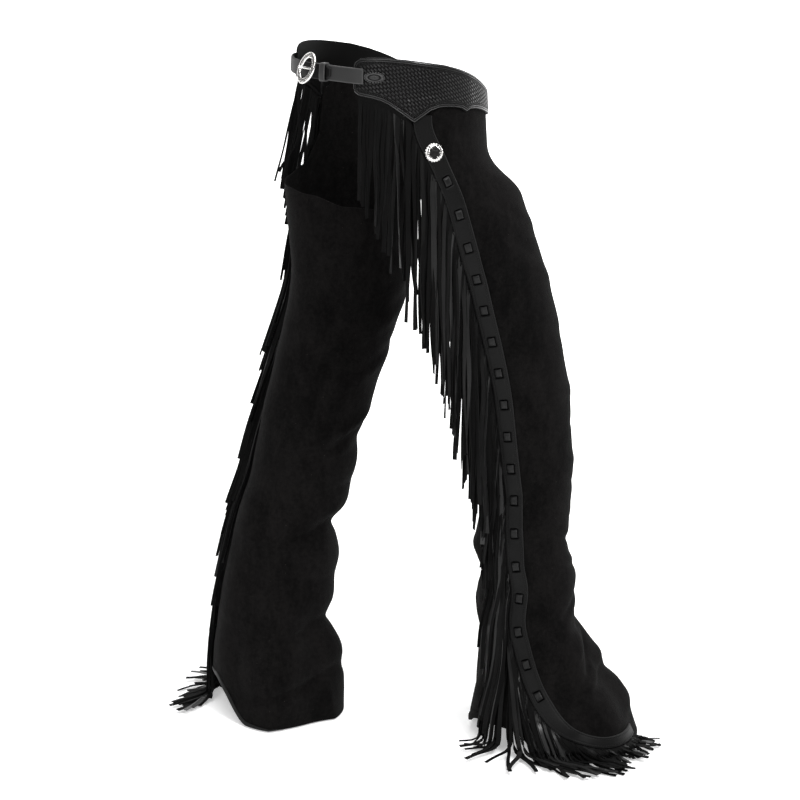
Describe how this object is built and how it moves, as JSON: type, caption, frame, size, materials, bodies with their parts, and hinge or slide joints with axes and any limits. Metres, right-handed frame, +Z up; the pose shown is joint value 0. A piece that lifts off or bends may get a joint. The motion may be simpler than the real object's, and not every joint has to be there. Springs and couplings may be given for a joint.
{
  "type": "fringed leather chaps",
  "caption": "Worn black suede chaps, hollow legs in a walking stance, with stamped leather yokes, laced outseam strips, long side fringe and a back strap with a silver buckle.",
  "frame": {"origin": "centre of the waist ring, at the height where the yokes sit on the wearer's hips", "axes": "+Z up, -Y to the wearer's front, -X to the wearer's right"},
  "size_m": [0.7302, 0.6808, 1.1157],
  "materials": {
    "suede": "napped black suede",
    "yoke_leather": "glossy black stamped leather",
    "trim_leather": "smooth black leather, satin",
    "fringe_leather": "cut black suede strands",
    "silver": "polished silver-toned, tarnished in the recesses"
  },
  "bodies": {
    "root": {"right_leg": "suede", "left_leg": "suede", "right_yoke": "yoke_leather", "left_yoke": "yoke_leather", "right_outseam_strip": "trim_leather", "left_outseam_strip": "trim_leather", "right_fringe": "fringe_leather", "left_fringe": "fringe_leather", "right_concho": "silver", "left_concho": "silver", "right_concho_tie": "trim_leather", "left_concho_tie": "trim_leather", "right_strap_stitch": "trim_leather", "left_strap_stitch": "trim_leather", "right_back_strap": "trim_leather", "left_back_strap": "trim_leather", "strap_keeper": "trim_leather", "buckle_frame": "silver", "buckle_prong": "silver", "front_strap": "trim_leather"}
  },
  "joints": []
}
